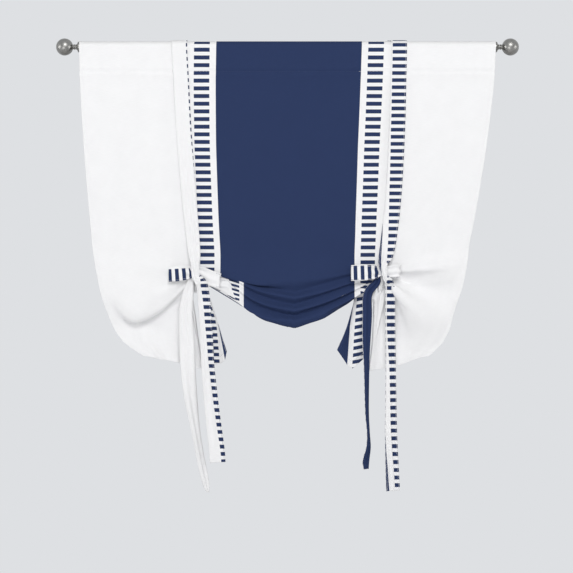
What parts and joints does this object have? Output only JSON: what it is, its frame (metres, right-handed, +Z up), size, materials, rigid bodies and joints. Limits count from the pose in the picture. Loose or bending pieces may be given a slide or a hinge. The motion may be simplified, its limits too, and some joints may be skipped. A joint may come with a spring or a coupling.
{
  "type": "tie-up roman blind",
  "caption": "Tie-up roman blind: a cloth panel with a rod pocket on a telescopic pole with ball finials, drawn up by cloth ties knotted in bows.",
  "frame": {"origin": "on the wall, at the middle of the four screw holes of the two wall brackets", "axes": "+X along the pole to the right as seen from the room, +Y into the wall, +Z up"},
  "size_m": [1.3, 0.1332, 1.2679],
  "materials": {
    "panel_cloth": "white woven polyester with a navy printed field",
    "tie_cloth": "the panel's cloth, folded and sewn double",
    "pole_metal": "brushed nickel",
    "finial_metal": "brushed nickel",
    "screw_steel": "zinc plated",
    "plug_plastic": "moulded"
  },
  "bodies": {
    "blind": {"outer_tube": "pole_metal", "left_end_plug": "plug_plastic", "left_finial_stud": "screw_steel", "left_finial": "finial_metal", "left_bracket": "pole_metal", "right_bracket": "pole_metal", "left_clamp_screw": "screw_steel", "right_clamp_screw": "screw_steel", "shade_panel": "panel_cloth", "left_front_tie": "tie_cloth", "left_back_tie": "tie_cloth", "right_front_tie": "tie_cloth", "right_back_tie": "tie_cloth"},
    "pole_extension": {"inner_tube": "pole_metal", "right_end_plug": "plug_plastic", "right_finial_stud": "screw_steel", "right_finial": "finial_metal"}
  },
  "joints": [
    {"name": "pole_slide", "type": "slide", "parent": "blind", "child": "pole_extension", "axis": [1, 0, 0], "range_m": [0, 0.6]}
  ]
}
